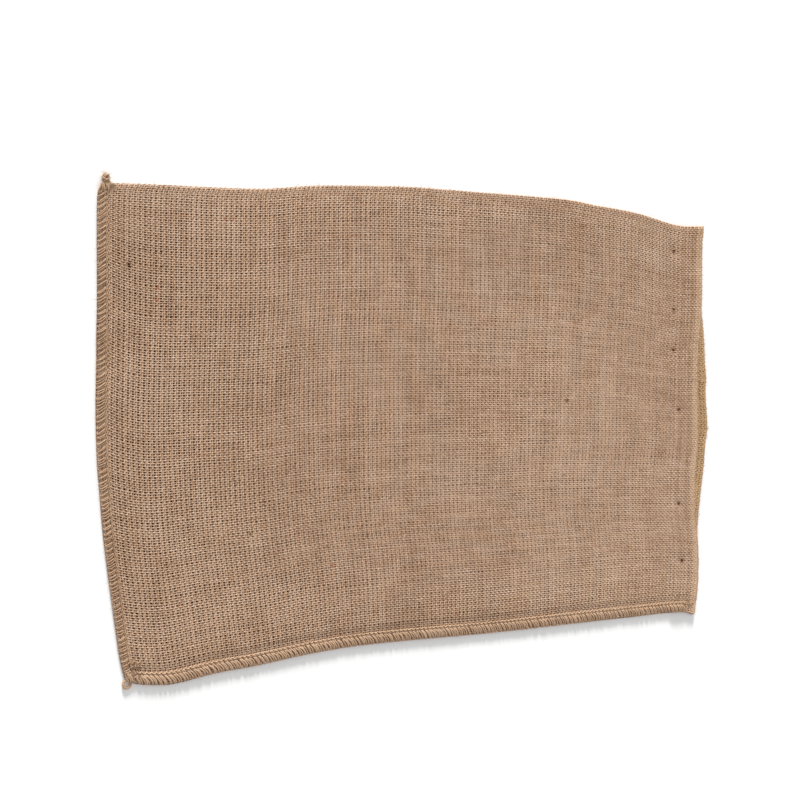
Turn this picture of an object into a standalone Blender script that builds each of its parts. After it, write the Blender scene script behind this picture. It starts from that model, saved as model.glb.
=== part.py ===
"""An empty jute sack, lying flat on its back panel.

One length of cloth is folded in half along the far edge. Its two layers are overlocked together
along the near edge and across the bottom, and the mouth at the other end is hemmed.
Units are metres. +X runs from the closed bottom to the mouth, +Y from the side seam to the fold,
and +Z is up. The edge tables are in millimetres, and an empty centres the sack on its own box.
"""

import math

import bmesh
import bpy
import numpy as np

MM = 0.001

# Cloth
CLOTH = 1.5 * MM  # one layer, with its nap
HEM = 2.4 * MM  # one layer and the hem turned in under it
HEM_DEPTH = 36 * MM
HEM_RAMP = 4 * MM  # length over which the cloth thickens into its hem
LAYER_GAP = 1.0 * MM  # air between front and back at the fold

# Seams
BOTTOM_SEAM_WIDTH = 11.2 * MM
SIDE_SEAM_WIDTH = 12.6 * MM
SEAM_HEIGHT = 4.8 * MM
SEAM_BELLY = 0.42  # height of a seam's widest line, as a share of its own height
GAP = 0.3 * MM  # clearance between pieces
SEAM_GAP = 0.6 * MM  # clearance across a seam's curved edge

# Thread ends at the corners
KNOT_SIZE = (9.5 * MM, 9.0 * MM, 6.0 * MM)
KNOT_PLACE = 0.45  # across the bottom seam's width
KNOT_LUMPS, KNOT_LUMP = 3, 0.10  # how many turns of thread show, and how far they stand out
LOOP_RADIUS = 3.5 * MM  # centre of the ring to the middle of its thread
LOOP_THREAD = 1.7 * MM  # radius of the doubled thread
REST_CLEARANCE = 0.2 * MM  # thread ends stay this far above the surface

# Mesh density
CLOTH_COLUMNS = 26
PANEL_ROWS = 22
FOLD_STEPS = 6
SEAM_SIDES = 12
CURVE_STEPS = 8

# Each edge of the sack as it lies, in millimetres.
# columns: x, y
FOLD_EDGE = (
    (-354, 215),
    (-293, 217),
    (-179, 220),
    (-107, 228),
    (-5, 234),
    (75, 234.5),
    (216, 234),
    (276, 229.5),
    (337, 224),
    (400, 213),
    (442, 214),
)
SEAM_EDGE = (
    (-327, -279),
    (-315, -283.5),
    (-293, -286.5),
    (-271, -286.5),
    (-226, -280),
    (-179, -276),
    (-107, -268),
    (-31, -264),
    (130, -263),
    (306, -259),
    (400, -257.5),
    (428, -262),
)
BOTTOM_EDGE = (
    (-354, 215),
    (-358, 197),
    (-358, 99),
    (-359, 0),
    (-358, -47),
    (-356, -79),
    (-350, -142),
    (-341, -206),
    (-333.5, -254),
    (-327, -279),
)
FRONT_LIP = (
    (442, 214),
    (440, 123),
    (437, 49),
    (437, 0),
    (433, -61),
    (430, -98),
    (432, -122),
    (435, -159),
    (435, -211),
    (428, -262),
)
BACK_LIP = (
    (442, 214),
    (441, 150),
    (443, 130),
    (447.5, 70),
    (450, 37),
    (451, -25),
    (447, -74),
    (442, -110),
    (438, -142),
    (434, -180),
    (428, -262),
)

# Soft troughs and ridges of the front panel. A crease runs straight between its two ends,
# which are shares of the sack's length at the fold and at the side seam, and it fades out
# towards them. A negative depth is a ridge.
# columns: along_at_fold, along_at_seam, from_across, to_across, depth_mm, half_width_mm
CREASES = (
    (0.68, 0.66, -0.10, 0.62, 1.3, 15),
    (0.285, 0.28, 0.30, 1.05, 0.9, 12),
    (0.52, 0.55, 0.10, 0.75, 0.6, 22),
    (0.84, 0.86, 0.20, 0.95, 0.8, 26),
    (0.11, 0.10, -0.05, 0.60, 0.7, 18),
    (0.60, 0.61, -0.05, 0.55, -0.6, 16),
    (0.92, 0.93, 0.25, 0.70, -0.7, 14),
)
CREASE_FADE = 0.2  # share of the width over which a crease fades out
SWELL = 2.2 * MM  # how far the front panel's middle stands above its edges
SWELL_LENGTHWAYS, SWELL_OVERALL = 0.5, 0.7  # powers that fill out the swell towards its edges
FOLD_EASE = 0.05  # share of the width over which the front rises from the fold

# Finish: colours are linear values
CLOTH_COLOUR = (0.41, 0.27, 0.18, 1)
THREAD_COLOUR = (0.45, 0.31, 0.21, 1)
JUTE_ROUGHNESS = 0.9
SHARP_ANGLE = math.radians(50)


def smoothstep(low, high, value):
    share = min(max((value - low) / (high - low), 0.0), 1.0)
    return share * share * (3 - 2 * share)


def edge_curve(rows):
    """A function from a share of the edge's length to its (x, y), on a smooth curve through the rows."""
    ends = np.array(rows) * MM
    ends = np.concatenate([2 * ends[:1] - ends[1:2], ends, 2 * ends[-1:] - ends[-2:-1]])
    points = []
    for before, start, end, after in zip(ends, ends[1:], ends[2:], ends[3:]):
        for u in np.linspace(0, 1, CURVE_STEPS, endpoint=False):
            bend = 2 * before - 5 * start + 4 * end - after
            twist = 3 * start - before - 3 * end + after
            points.append(start + 0.5 * (u * (end - before) + u * u * bend + u**3 * twist))
    points = np.array(points + [ends[-2]])
    lengths = np.concatenate([[0], np.cumsum(np.linalg.norm(np.diff(points, axis=0), axis=1))])
    shares = lengths / lengths[-1]
    return lambda share: np.array(
        [np.interp(share, shares, points[:, 0]), np.interp(share, shares, points[:, 1])]
    )


def panel(mouth):
    """A function from (along, across) to (x, y): along 0 at the bottom, across 0 at the fold."""
    fold, seam = edge_curve(FOLD_EDGE), edge_curve(SEAM_EDGE)
    bottom, lip = edge_curve(BOTTOM_EDGE), edge_curve(mouth)

    def place(along, across):
        lengthways = (1 - across) * fold(along) + across * seam(along)
        crossways = (1 - along) * bottom(across) + along * lip(across)
        corners = (1 - along) * ((1 - across) * fold(0) + across * seam(0))
        corners = corners + along * ((1 - across) * fold(1) + across * seam(1))
        return lengthways + crossways - corners

    return place


front_place = panel(FRONT_LIP)
back_place = panel(BACK_LIP)
LENGTH = float(np.linalg.norm(front_place(1, 0.5) - front_place(0, 0.5)))
WIDTH = float(np.linalg.norm(front_place(0.5, 1) - front_place(0.5, 0)))
CLOTH_START = (BOTTOM_SEAM_WIDTH + SEAM_GAP) / LENGTH
CLOTH_SIDE = 1 - (SIDE_SEAM_WIDTH + SEAM_GAP) / WIDTH

# Cloth and seams share these stations, so their facets run parallel.
HEM_START = 1 - HEM_DEPTH / LENGTH
COLUMNS = [*np.linspace(CLOTH_START, HEM_START, CLOTH_COLUMNS), HEM_START + HEM_RAMP / LENGTH, 1]
ROWS = np.linspace(0, CLOTH_SIDE, PANEL_ROWS)


def front_lift(along, across):
    """Height of the front panel's middle surface above its level at the fold."""
    lengthways = abs(math.sin(math.pi * along)) ** SWELL_LENGTHWAYS
    lift = SWELL * (math.sin(math.pi * across) * lengthways) ** SWELL_OVERALL
    for at_fold, at_seam, start, end, depth, half_width in CREASES:
        offset = (along - at_fold - across * (at_seam - at_fold)) * LENGTH
        fade = smoothstep(start, start + CREASE_FADE, across)
        fade *= 1 - smoothstep(end - CREASE_FADE, end, across)
        lift -= depth * MM * fade * math.exp(-((offset / (half_width * MM)) ** 2))
    return lift * smoothstep(0, FOLD_EASE, across)


def cloth_section(along):
    """Middle of the cloth at one place along the sack: front panel, round the fold, back panel."""
    thickness = CLOTH + (HEM - CLOTH) * smoothstep(HEM_START, HEM_START + HEM_RAMP / LENGTH, along)
    height = 2 * thickness + LAYER_GAP
    radius = (height - thickness) / 2
    points = []
    for across in ROWS[::-1]:
        x, y = front_place(along, across)
        lift = front_lift(along, across)
        points.append((x, y - (1 - across) * height / 2, height - thickness / 2 + lift))
    x, y = front_place(along, 0)
    for step in range(1, FOLD_STEPS):
        turn = math.pi * (0.5 - step / FOLD_STEPS)
        reach = radius * math.cos(turn) - height / 2
        points.append((x, y + reach, height / 2 + radius * math.sin(turn)))
    for across in ROWS:
        x, y = back_place(along, across)
        points.append((x, y - (1 - across) * height / 2, thickness / 2))
    return points


def material(name, colour):
    made = bpy.data.materials.new(name)
    made.use_nodes = True
    shader = made.node_tree.nodes["Principled BSDF"]
    shader.inputs["Base Color"].default_value = colour
    shader.inputs["Roughness"].default_value = JUTE_ROUGHNESS
    shader.inputs["Metallic"].default_value = 0
    return made


def finish_piece(name, shape, surface, parent):
    """Turns a bmesh into a named, smooth-shaded object under the parent."""
    bmesh.ops.recalc_face_normals(shape, faces=shape.faces)
    mesh = bpy.data.meshes.new(name)
    shape.to_mesh(mesh)
    shape.free()
    mesh.shade_smooth()
    mesh.set_sharp_from_angle(angle=SHARP_ANGLE)
    mesh.materials.append(surface)
    piece = bpy.data.objects.new(name, mesh)
    piece.parent = parent
    bpy.context.collection.objects.link(piece)
    return piece


def make_cloth(surface, parent):
    """The folded sheet: a grid bent to its sections, then given its thickness."""
    sections = [cloth_section(along) for along in COLUMNS]
    shape = bmesh.new()
    grid = [[shape.verts.new(point) for point in section] for section in sections]
    for here, ahead in zip(grid, grid[1:]):
        for a, b, c, d in zip(here, ahead, ahead[1:], here[1:]):
            shape.faces.new((a, b, c, d))
    first_in_hem = len(sections[0]) * (len(COLUMNS) - 2)
    cloth = finish_piece("sack_cloth", shape, surface, parent)
    hem = cloth.vertex_groups.new(name="hem")
    for vert in cloth.data.vertices:
        hem.add([vert.index], float(vert.index >= first_in_hem), "REPLACE")
    solid = cloth.modifiers.new("cloth thickness", "SOLIDIFY")
    solid.thickness = HEM
    solid.vertex_group = "hem"
    solid.thickness_vertex_group = CLOTH / HEM
    solid.offset = 0
    solid.use_even_offset = True
    return cloth


def seam_outline():
    """Section of a seam: (share of its width, height), with a flat underside."""
    outline = []
    middle = SEAM_BELLY * SEAM_HEIGHT
    for side in range(SEAM_SIDES):
        turn = 2 * math.pi * (side + 0.5) / SEAM_SIDES
        half = SEAM_HEIGHT - middle
        outline.append((0.5 + 0.5 * math.cos(turn), max(0.0, middle + half * math.sin(turn))))
    return outline


def make_seam(name, stations, place_on, surface, parent):
    """A band lofted through stations: place_on(station, share of width) gives (x, y)."""
    shape = bmesh.new()
    rings = []
    for station in stations:
        ring = [shape.verts.new((*place_on(station, share), z)) for share, z in seam_outline()]
        rings.append(ring)
    for here, ahead in zip(rings, rings[1:]):
        for side in range(SEAM_SIDES):
            after = (side + 1) % SEAM_SIDES
            shape.faces.new((here[side], here[after], ahead[after], ahead[side]))
    shape.faces.new(rings[0])
    shape.faces.new(rings[-1])
    return finish_piece(name, shape, surface, parent)


def make_seams(surface, parent):
    bottom_share = BOTTOM_SEAM_WIDTH / LENGTH
    side_share = SIDE_SEAM_WIDTH / WIDTH
    make_seam(
        "bottom_seam",
        [*ROWS, 1],
        lambda across, share: front_place(bottom_share * share, across),
        surface,
        parent,
    )
    make_seam(
        "side_seam",
        COLUMNS,
        lambda along, share: front_place(along, 1 - side_share * share),
        surface,
        parent,
    )


def make_knot(surface, parent):
    """A lumpy knot of thread, just past the corner where the bottom seam meets the fold."""
    shape = bmesh.new()
    bmesh.ops.create_icosphere(shape, subdivisions=2, radius=0.5)
    for vert in shape.verts:
        spin = math.atan2(vert.co.y, vert.co.x)
        wave = math.sin(KNOT_LUMPS * spin + 4 * vert.co.z)
        vert.co *= 1 + KNOT_LUMP * wave * (1 - 2 * abs(vert.co.z))
        vert.co.x *= KNOT_SIZE[0]
        vert.co.y *= KNOT_SIZE[1]
        vert.co.z *= KNOT_SIZE[2]
    knot = finish_piece("corner_knot", shape, surface, parent)
    x, y = front_place(0, 0)
    knot.location = (
        x + BOTTOM_SEAM_WIDTH * KNOT_PLACE,
        y + KNOT_SIZE[1] / 2 + 2 * GAP,
        KNOT_SIZE[2] / 2 + REST_CLEARANCE,
    )


def make_loop(surface, parent):
    """A ring of doubled thread, lying just outside the corner of the two seams."""
    bpy.ops.mesh.primitive_torus_add(
        major_segments=24,
        minor_segments=10,
        major_radius=LOOP_RADIUS,
        minor_radius=LOOP_THREAD,
    )
    loop = bpy.context.object
    loop.name = "corner_loop"
    loop.data.name = "corner_loop"
    loop.data.materials.append(surface)
    loop.data.shade_smooth()
    loop.parent = parent
    x, y = front_place(0, 1)
    reach = LOOP_RADIUS + LOOP_THREAD
    loop.location = (
        x - LOOP_THREAD,
        y - reach - 2 * GAP,
        LOOP_THREAD + REST_CLEARANCE,
    )


def centre_on_box(parent, pieces):
    """Moves the parent so that the middle of the pieces' box is above the origin."""
    bpy.context.view_layer.update()
    graph = bpy.context.evaluated_depsgraph_get()
    corners = []
    for piece in pieces:
        shown = piece.evaluated_get(graph)
        corners += [shown.matrix_world @ vert.co for vert in shown.data.vertices]
    for axis in (0, 1):
        values = [corner[axis] for corner in corners]
        parent.location[axis] = -(min(values) + max(values)) / 2
    sides = [max(c[axis] for c in corners) - min(c[axis] for c in corners) for axis in range(3)]
    print("sack box, mm:", [round(side / MM, 1) for side in sides])


def main():
    for old in list(bpy.data.objects):
        bpy.data.objects.remove(old)
    parent = bpy.data.objects.new("sack_origin", None)
    bpy.context.collection.objects.link(parent)
    cloth_surface = material("jute_cloth", CLOTH_COLOUR)
    thread_surface = material("jute_thread", THREAD_COLOUR)
    make_cloth(cloth_surface, parent)
    make_seams(thread_surface, parent)
    make_knot(thread_surface, parent)
    make_loop(thread_surface, parent)
    centre_on_box(parent, [piece for piece in bpy.data.objects if piece.type == "MESH"])


main()
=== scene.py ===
# %% [markdown]
# # An empty jute sack, lying flat
#
# This lesson dresses a plain solid of a sack until it looks like the real thing. The sack is one
# length of hessian, an open plain weave of coarse jute yarn. It is folded in half along its far
# edge, overlocked with jute thread along the near edge and across the bottom, and hemmed at the
# mouth. The weave is so coarse that every yarn shows, so the front is built from real yarns that
# pass over and under each other, and materials only add what is finer than a yarn.
#
# First the fixed solid is loaded. Everything that follows is laid on it and never moves it.

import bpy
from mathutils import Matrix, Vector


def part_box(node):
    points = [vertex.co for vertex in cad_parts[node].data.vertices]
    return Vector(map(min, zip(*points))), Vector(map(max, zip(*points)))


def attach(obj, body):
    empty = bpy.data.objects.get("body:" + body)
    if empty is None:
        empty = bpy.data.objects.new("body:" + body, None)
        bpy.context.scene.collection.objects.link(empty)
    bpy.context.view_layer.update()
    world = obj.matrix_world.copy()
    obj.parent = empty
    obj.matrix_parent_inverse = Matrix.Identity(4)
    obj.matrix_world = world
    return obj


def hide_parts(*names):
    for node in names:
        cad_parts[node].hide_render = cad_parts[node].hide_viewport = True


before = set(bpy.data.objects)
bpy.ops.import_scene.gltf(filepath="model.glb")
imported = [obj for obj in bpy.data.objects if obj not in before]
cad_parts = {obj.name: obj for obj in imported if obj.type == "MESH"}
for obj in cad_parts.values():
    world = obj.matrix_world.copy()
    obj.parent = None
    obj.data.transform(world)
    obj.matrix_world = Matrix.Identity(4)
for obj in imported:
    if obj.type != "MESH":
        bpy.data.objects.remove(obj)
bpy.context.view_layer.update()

# %% Tools and units
import math

import bpy
import numpy as np
from mathutils import Matrix, Vector

MM = 0.001
SEED = 1907


def smoothstep(low, high, value):
    share = np.clip((value - low) / (high - low), 0, 1)
    return share * share * (3 - 2 * share)


def unit(vectors):
    return vectors / np.maximum(np.linalg.norm(vectors, axis=-1, keepdims=True), 1e-12)


# %% [markdown]
# ## The outline
#
# A sack that has been carried and dropped is never a rectangle. Each edge is a short table of
# points in millimetres, and a smooth curve runs through them. A Coons patch then fills the area
# between four edges: it blends the two long edges with the two short ones, so a yarn near an edge
# follows that edge, and a yarn in the middle follows a mixture. A shape cut out of a plain grid
# would be quicker, but it would cut yarns off where the real ones bend with the edge.

# %% Edges of the sack, in millimetres
# columns: x, y
FOLD_EDGE = (
    (-354, 215), (-293, 217), (-179, 220), (-107, 228), (-5, 234), (75, 234.5),
    (216, 234), (276, 229.5), (337, 224), (400, 213), (442, 214),
)
SEAM_EDGE = (
    (-327, -279), (-315, -283.5), (-293, -286.5), (-271, -286.5), (-226, -280), (-179, -276),
    (-107, -268), (-31, -264), (130, -263), (306, -259), (400, -257.5), (428, -262),
)
BOTTOM_EDGE = (
    (-354, 215), (-358, 197), (-358, 99), (-359, 0), (-358, -47), (-356, -79),
    (-350, -142), (-341, -206), (-333.5, -254), (-327, -279),
)
FRONT_LIP = (
    (442, 214), (441, 204), (439.6, 192), (438.6, 123), (436, 86), (433.2, 60), (431.6, 0),
    (431.8, -50), (429.6, -74), (427.8, -98), (428, -138), (431.5, -165), (433, -190), (432.4, -220),
    (428, -262),
)
BACK_LIP = (
    (442, 214), (441.2, 204), (440, 192), (439.8, 123), (443.6, 98), (446.6, 74), (447.6, 48),
    (449.6, 27), (448, 18), (448.6, 0), (451, -31), (447.4, -49), (445.6, -74), (440.8, -108),
    (437.2, -135), (434, -170), (433.8, -186), (433, -220), (428, -262),
)
CURVE_STEPS = 8

# %% A smooth curve through an edge's points
def edge_curve(rows):
    """A function from shares of the edge's length to points (x, y) on it."""
    ends = np.array(rows) * MM
    ends = np.concatenate([2 * ends[:1] - ends[1:2], ends, 2 * ends[-1:] - ends[-2:-1]])
    points = []
    for before, start, end, after in zip(ends, ends[1:], ends[2:], ends[3:]):
        for u in np.linspace(0, 1, CURVE_STEPS, endpoint=False):
            bend = 2 * before - 5 * start + 4 * end - after
            twist = 3 * start - before - 3 * end + after
            points.append(start + 0.5 * (u * (end - before) + u * u * bend + u**3 * twist))
    points = np.array(points + [ends[-2]])
    steps = np.linalg.norm(np.diff(points, axis=0), axis=1)
    shares = np.concatenate([[0], np.cumsum(steps)]) / steps.sum()
    return lambda share: np.stack(
        [np.interp(share, shares, points[:, axis]) for axis in (0, 1)], -1
    )


# %% The patch between four edges
def patch(mouth):
    """A function from (along, across) to (x, y): along 0 at the bottom, across 0 at the fold."""
    fold, seam = edge_curve(FOLD_EDGE), edge_curve(SEAM_EDGE)
    bottom, lip = edge_curve(BOTTOM_EDGE), edge_curve(mouth)

    def place(along, across):
        a, c = along[..., None], across[..., None]
        corners = (1 - a) * ((1 - c) * fold(0.0) + c * seam(0.0))
        corners = corners + a * ((1 - c) * fold(1.0) + c * seam(1.0))
        between = (1 - c) * fold(along) + c * seam(along)
        return between + (1 - a) * bottom(across) + a * lip(across) - corners

    return place


front_place, back_place = patch(FRONT_LIP), patch(BACK_LIP)
middle, ends = np.array([0.5, 0.5]), np.array([0.0, 1.0])
LENGTH = float(np.linalg.norm(np.diff(front_place(ends, middle), axis=0)))
WIDTH = float(np.linalg.norm(np.diff(front_place(middle, ends), axis=0)))

# %% Where the tables lie in the solid's frame
every = np.linspace(0, 1, 400)
cloth_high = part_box("sack_cloth")[1]
highest = np.array(
    [back_place(np.ones(400), every)[:, 0].max(), front_place(every, np.zeros(400))[:, 1].max()]
)
SHIFT = np.array([cloth_high[0], cloth_high[1]]) - highest
print(f"sack {LENGTH:.3f} x {WIDTH:.3f} m, shifted by {SHIFT.round(4)}")

# %% [markdown]
# ## The lie of the cloth
#
# Next comes the surface on which every yarn lies: the middle of the cloth. It runs up the front
# panel, round the fold and down the back panel, and at the mouth it turns in under itself for the
# hem. One function gives any point of it. Its first number says how far along the sack, and past
# the lip it goes on into the hem. Its second number, the wrap, is 0 to 1 on the front, 1 to 2
# round the fold and 2 to 3 on the back. A cloth simulation could find creases of its own, but this
# sack lies at rest with its creases in known places, so a plain function is surer.

# %% Sizes of the cloth and its seams
CLOTH = 1.5 * MM
HEM_FOLD = 0.65 * MM  # radius of the cloth's middle where the hem turns in
HEM_DEPTH = 34 * MM
LAYER_GAP = 1.0 * MM
FLAT_HEIGHT = 2 * CLOTH + LAYER_GAP
MOUTH_HEIGHT = FLAT_HEIGHT + 1.8 * MM  # four layers of cloth lie over each other there
BOTTOM_SEAM_WIDTH = 11.2 * MM
SIDE_SEAM_WIDTH = 12.6 * MM
SEAM_MIDDLE = 2.05 * MM  # height of a seam's own middle
SEAM_SQUEEZE = 0.5 * MM  # each layer's middle lies this far from it
SEAM_SLOPE = 12 * MM  # over which the cloth comes down to its seam

# %% Soft creases of the front panel
# A crease runs straight between two ends, which are shares of the sack's length at the fold and
# at the side seam. A negative depth is a ridge.
# columns: along_at_fold, along_at_seam, from_across, to_across, depth_mm, half_width_mm
CREASES = (
    (0.68, 0.66, -0.10, 0.62, 1.3, 15),
    (0.285, 0.28, 0.30, 1.05, 0.9, 12),
    (0.52, 0.55, 0.10, 0.75, 0.6, 22),
    (0.84, 0.86, 0.20, 0.95, 0.8, 26),
    (0.11, 0.10, -0.05, 0.60, 0.7, 18),
    (0.60, 0.61, -0.05, 0.55, -0.6, 16),
    (0.92, 0.93, 0.25, 0.70, -0.7, 14),
)
CREASE_FADE = 0.2  # share of the width over which a crease starts and ends
SWELL = 2.2 * MM  # how far the air inside lifts the middle of the front
SWELL_START = 0.05  # share of the width that lies level beside the fold
print(len(CREASES), "creases, the deepest, mm:", max(row[4] for row in CREASES))

# %% Hand-sewn tacks that hold the hem
# columns: across, from_lip_mm
TACKS = ((0.067, 45), (0.218, 44), (0.321, 41), (0.473, 32), (0.716, 28), (0.866, 28))
TACK_DEPTH, TACK_RADIUS = 0.9 * MM, 7 * MM
print(len(TACKS), "tacks")


# %% How the front panel rises, and where it comes down to its seams
def front_lift(along, across):
    """How far the front panel stands above its level at the fold."""
    swell = np.sin(np.pi * np.clip(across, 0, 1)) * np.sin(np.pi * np.clip(along, 0, 1)) ** 0.5
    lift = SWELL * np.abs(swell) ** 0.7
    for at_fold, at_seam, start, end, depth, half_width in CREASES:
        offset = (along - at_fold - across * (at_seam - at_fold)) * LENGTH
        fade = smoothstep(start, start + CREASE_FADE, across)
        fade = fade * (1 - smoothstep(end - CREASE_FADE, end, across))
        lift = lift - depth * MM * fade * np.exp(-((offset / (half_width * MM)) ** 2))
    for tack_across, from_lip in TACKS:
        lengthways = (1 - along) * LENGTH - from_lip * MM
        away = lengthways**2 + ((across - tack_across) * WIDTH) ** 2
        lift = lift - TACK_DEPTH * np.exp(-away / TACK_RADIUS**2)
    return lift * smoothstep(0, SWELL_START, across)


def in_seam(along, across):
    """1 inside the overlocked edges, 0 on the open cloth."""
    from_bottom = along * LENGTH - BOTTOM_SEAM_WIDTH
    from_side = (1 - across) * WIDTH - SIDE_SEAM_WIDTH
    return 1 - smoothstep(0, SEAM_SLOPE, np.minimum(from_bottom, from_side))


# %% The outer layer's middle surface, by share along and wrap
HEM_STACK = 1.3 * MM  # how much further apart the layers lie where the hem doubles them


def in_hem(along):
    """1 where the hem doubles the cloth, 0 elsewhere."""
    return smoothstep(1 - (HEM_DEPTH + SEAM_SLOPE) / LENGTH, 1 - HEM_DEPTH / LENGTH, along)


def outer_layer(along, wrap):
    """The middle of the cloth's outer layer, without the turned-in hem."""
    along, wrap = np.broadcast_arrays(along, wrap)
    across = np.clip(np.where(wrap < 1, 1 - wrap, wrap - 2), 0, 1)
    hemmed = in_hem(along)
    height = FLAT_HEIGHT + (MOUTH_HEIGHT - FLAT_HEIGHT) * hemmed
    radius = (height - CLOTH) / 2
    seam = in_seam(along, across)
    squeeze = SEAM_SQUEEZE + HEM_STACK * hemmed
    seam_middle = SEAM_MIDDLE + 0.5 * HEM_STACK * hemmed
    front_z = height - CLOTH / 2 + front_lift(along, across)
    front_z = front_z + (seam_middle + squeeze - front_z) * seam
    back_z = CLOTH / 2 + (seam_middle - squeeze - CLOTH / 2) * seam
    turn = np.pi * (0.5 - np.clip(wrap - 1, 0, 1))
    fold_z = height / 2 + radius * np.sin(turn)
    fold_z = fold_z + (seam_middle + squeeze * np.sin(turn) - fold_z) * seam
    z = np.where(wrap < 1, front_z, np.where(wrap > 2, back_z, fold_z))
    xy = np.where((wrap < 1)[..., None], front_place(along, across), back_place(along, across))
    inset = (1 - across) * height / 2 - np.where((wrap > 1) & (wrap < 2), radius * np.cos(turn), 0)
    return np.concatenate([xy + SHIFT - np.stack([0 * inset, inset], -1), z[..., None]], -1)


# %% Any point of the cloth, hem included
# The turned cloth has its own thickness, so the hem starts to turn a little short of the lip.
LIP_RUN = LENGTH - 1.35 * MM
TINY = 1e-4  # a step to a neighbouring point, from which the cloth's direction is found


def cloth_surface(run, wrap, out=0.0):
    """Points of the cloth, and their outward normals.

    run is metres from the bottom edge, and past the lip it goes on into the turned-in hem.
    out is the distance from the cloth's middle towards its outer face.
    """
    run, wrap, out = np.broadcast_arrays(run, wrap, out)
    turn = np.clip((run - LIP_RUN) / HEM_FOLD, 0, np.pi)
    back_in = np.maximum(run - LIP_RUN - np.pi * HEM_FOLD, 0)
    along = (np.minimum(run, LIP_RUN) - back_in) / LENGTH
    base = outer_layer(along, wrap)
    ahead = outer_layer(along - TINY, wrap)
    beside = outer_layer(along, wrap + TINY)
    lengthways = unit(base - ahead)
    normal = unit(np.cross(lengthways, beside - base))
    cos, sin = np.cos(turn)[..., None], np.sin(turn)[..., None]
    facing = normal * cos + lengthways * sin
    depth = HEM_FOLD * (1 - cos)
    return base - normal * depth + lengthways * HEM_FOLD * sin + facing * out[..., None], facing


# %% [markdown]
# ## The camera and the light
#
# They come early, so that every later step can be looked at. The sack is seen from almost
# straight above, from a little beyond its closed bottom, through a long lens. Soft light comes
# from above and from the fold's side, so the side seam throws a narrow soft shadow on the floor.

# %% Camera
CAMERA_TILT = math.radians(33.2)
CAMERA_DISTANCE = 1.989
CAMERA_AIM = Vector((SHIFT[0], SHIFT[1], 0.0))

camera_data = bpy.data.cameras.new("camera")
camera_data.lens = 81.8
camera_data.sensor_width = 36
camera = bpy.data.objects.new("camera", camera_data)
bpy.context.collection.objects.link(camera)
back = Vector((-math.sin(CAMERA_TILT), 0, math.cos(CAMERA_TILT)))
up = Vector((0, 1, 0))
side = up.cross(back).normalized()
eye = CAMERA_AIM + back * CAMERA_DISTANCE
camera.matrix_world = Matrix.Translation(eye) @ Matrix((side, up, back)).transposed().to_4x4()
bpy.context.scene.camera = camera
print("camera at, m:", tuple(round(v, 3) for v in eye))

# %% Sun and sky
SUN_HEIGHT = math.radians(16)
sun_data = bpy.data.lights.new("sun", "SUN")
sun_data.energy = 5.55
sun_data.angle = math.radians(13)  # a broad sun, so that the shadow's edge is soft
sun_data.color = (1.0, 0.99, 0.975)
sun = bpy.data.objects.new("sun", sun_data)
towards_sun = Vector((-0.1, 1, math.tan(SUN_HEIGHT)))
sun.rotation_euler = towards_sun.to_track_quat("Z", "Y").to_euler()
bpy.context.collection.objects.link(sun)

world = bpy.data.worlds.new("studio")
world.use_nodes = True
sky = world.node_tree.nodes["Background"]
sky.inputs["Color"].default_value = (1, 1, 1, 1)
sky.inputs["Strength"].default_value = 0.68
bpy.context.scene.world = world
bpy.context.scene.view_settings.view_transform = "Standard"
print("sun:", sun_data.energy, "sky:", sky.inputs["Strength"].default_value)

# %% Floor
FLOOR_HALF = 6.0
floor_corners = [(x * FLOOR_HALF, y * FLOOR_HALF, 0) for x, y in ((-1, -1), (1, -1), (1, 1), (-1, 1))]
floor_mesh = bpy.data.meshes.new("floor")
floor_mesh.from_pydata(floor_corners, [], [(0, 1, 2, 3)])
floor = bpy.data.objects.new("floor", floor_mesh)
bpy.context.collection.objects.link(floor)
floor_paint = bpy.data.materials.new("floor_paint")
floor_paint.use_nodes = True
floor_shader = floor_paint.node_tree.nodes["Principled BSDF"]
floor_shader.inputs["Base Color"].default_value = (0.92, 0.92, 0.92, 1)
floor_shader.inputs["Roughness"].default_value = 0.9
floor_mesh.materials.append(floor_paint)
print("floor:", 2 * FLOOR_HALF, "m wide")

# %% [markdown]
# ## The weave
#
# Hessian of this kind has one yarn at a time over and under: a plain weave. In the loom the reed
# leaves the warps in pairs, so the small dark holes stand in columns between the pairs. The warps
# run from the side seam up the front, round the fold and down the back, and the wefts run from
# the bottom to the mouth. No yarn is straight or even, so every crossing gets a small share of
# wander that its neighbours mostly share.

# %% Noise whose neighbours agree
rng = np.random.default_rng(SEED)
FALL_OFF = 20  # how sharply the noise loses waves shorter than its reach


def smooth_noise(rows, columns, row_reach, column_reach):
    """Random values of spread 1 that change over about these many rows and columns."""
    row_waves = np.fft.fftfreq(rows)[:, None] * row_reach
    column_waves = np.fft.rfftfreq(columns)[None, :] * column_reach
    kept = np.exp(-FALL_OFF * (row_waves**2 + column_waves**2))
    noise = np.fft.rfft2(rng.normal(size=(rows, columns))) * kept
    noise = np.fft.irfft2(noise, s=(rows, columns))
    noise = noise - noise.mean()
    return noise / noise.std()


# %% Where the warps and the wefts lie on the flat cloth
PAIR_GAP, BETWEEN_PAIRS, WEFT_GAP = 2.1 * MM, 3.5 * MM, 2.48 * MM
FIRST_YARN = 1.0 * MM  # from the cut edge
HEM_END = LIP_RUN + np.pi * HEM_FOLD + HEM_DEPTH
FOLD_ARC = np.pi * (FLAT_HEIGHT - CLOTH) / 2
CLOTH_WIDTH = 2 * WIDTH + FOLD_ARC


def yarn_places(first, last, gaps, unevenness):
    """Distances of yarns from first to last, with these gaps in turn."""
    count = int((last - first) / np.mean(gaps))
    steps = np.resize(gaps, count) * (1 + unevenness * rng.normal(size=count))
    return first + np.concatenate([[0], np.cumsum(steps)]) * (last - first) / steps.sum()


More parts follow.
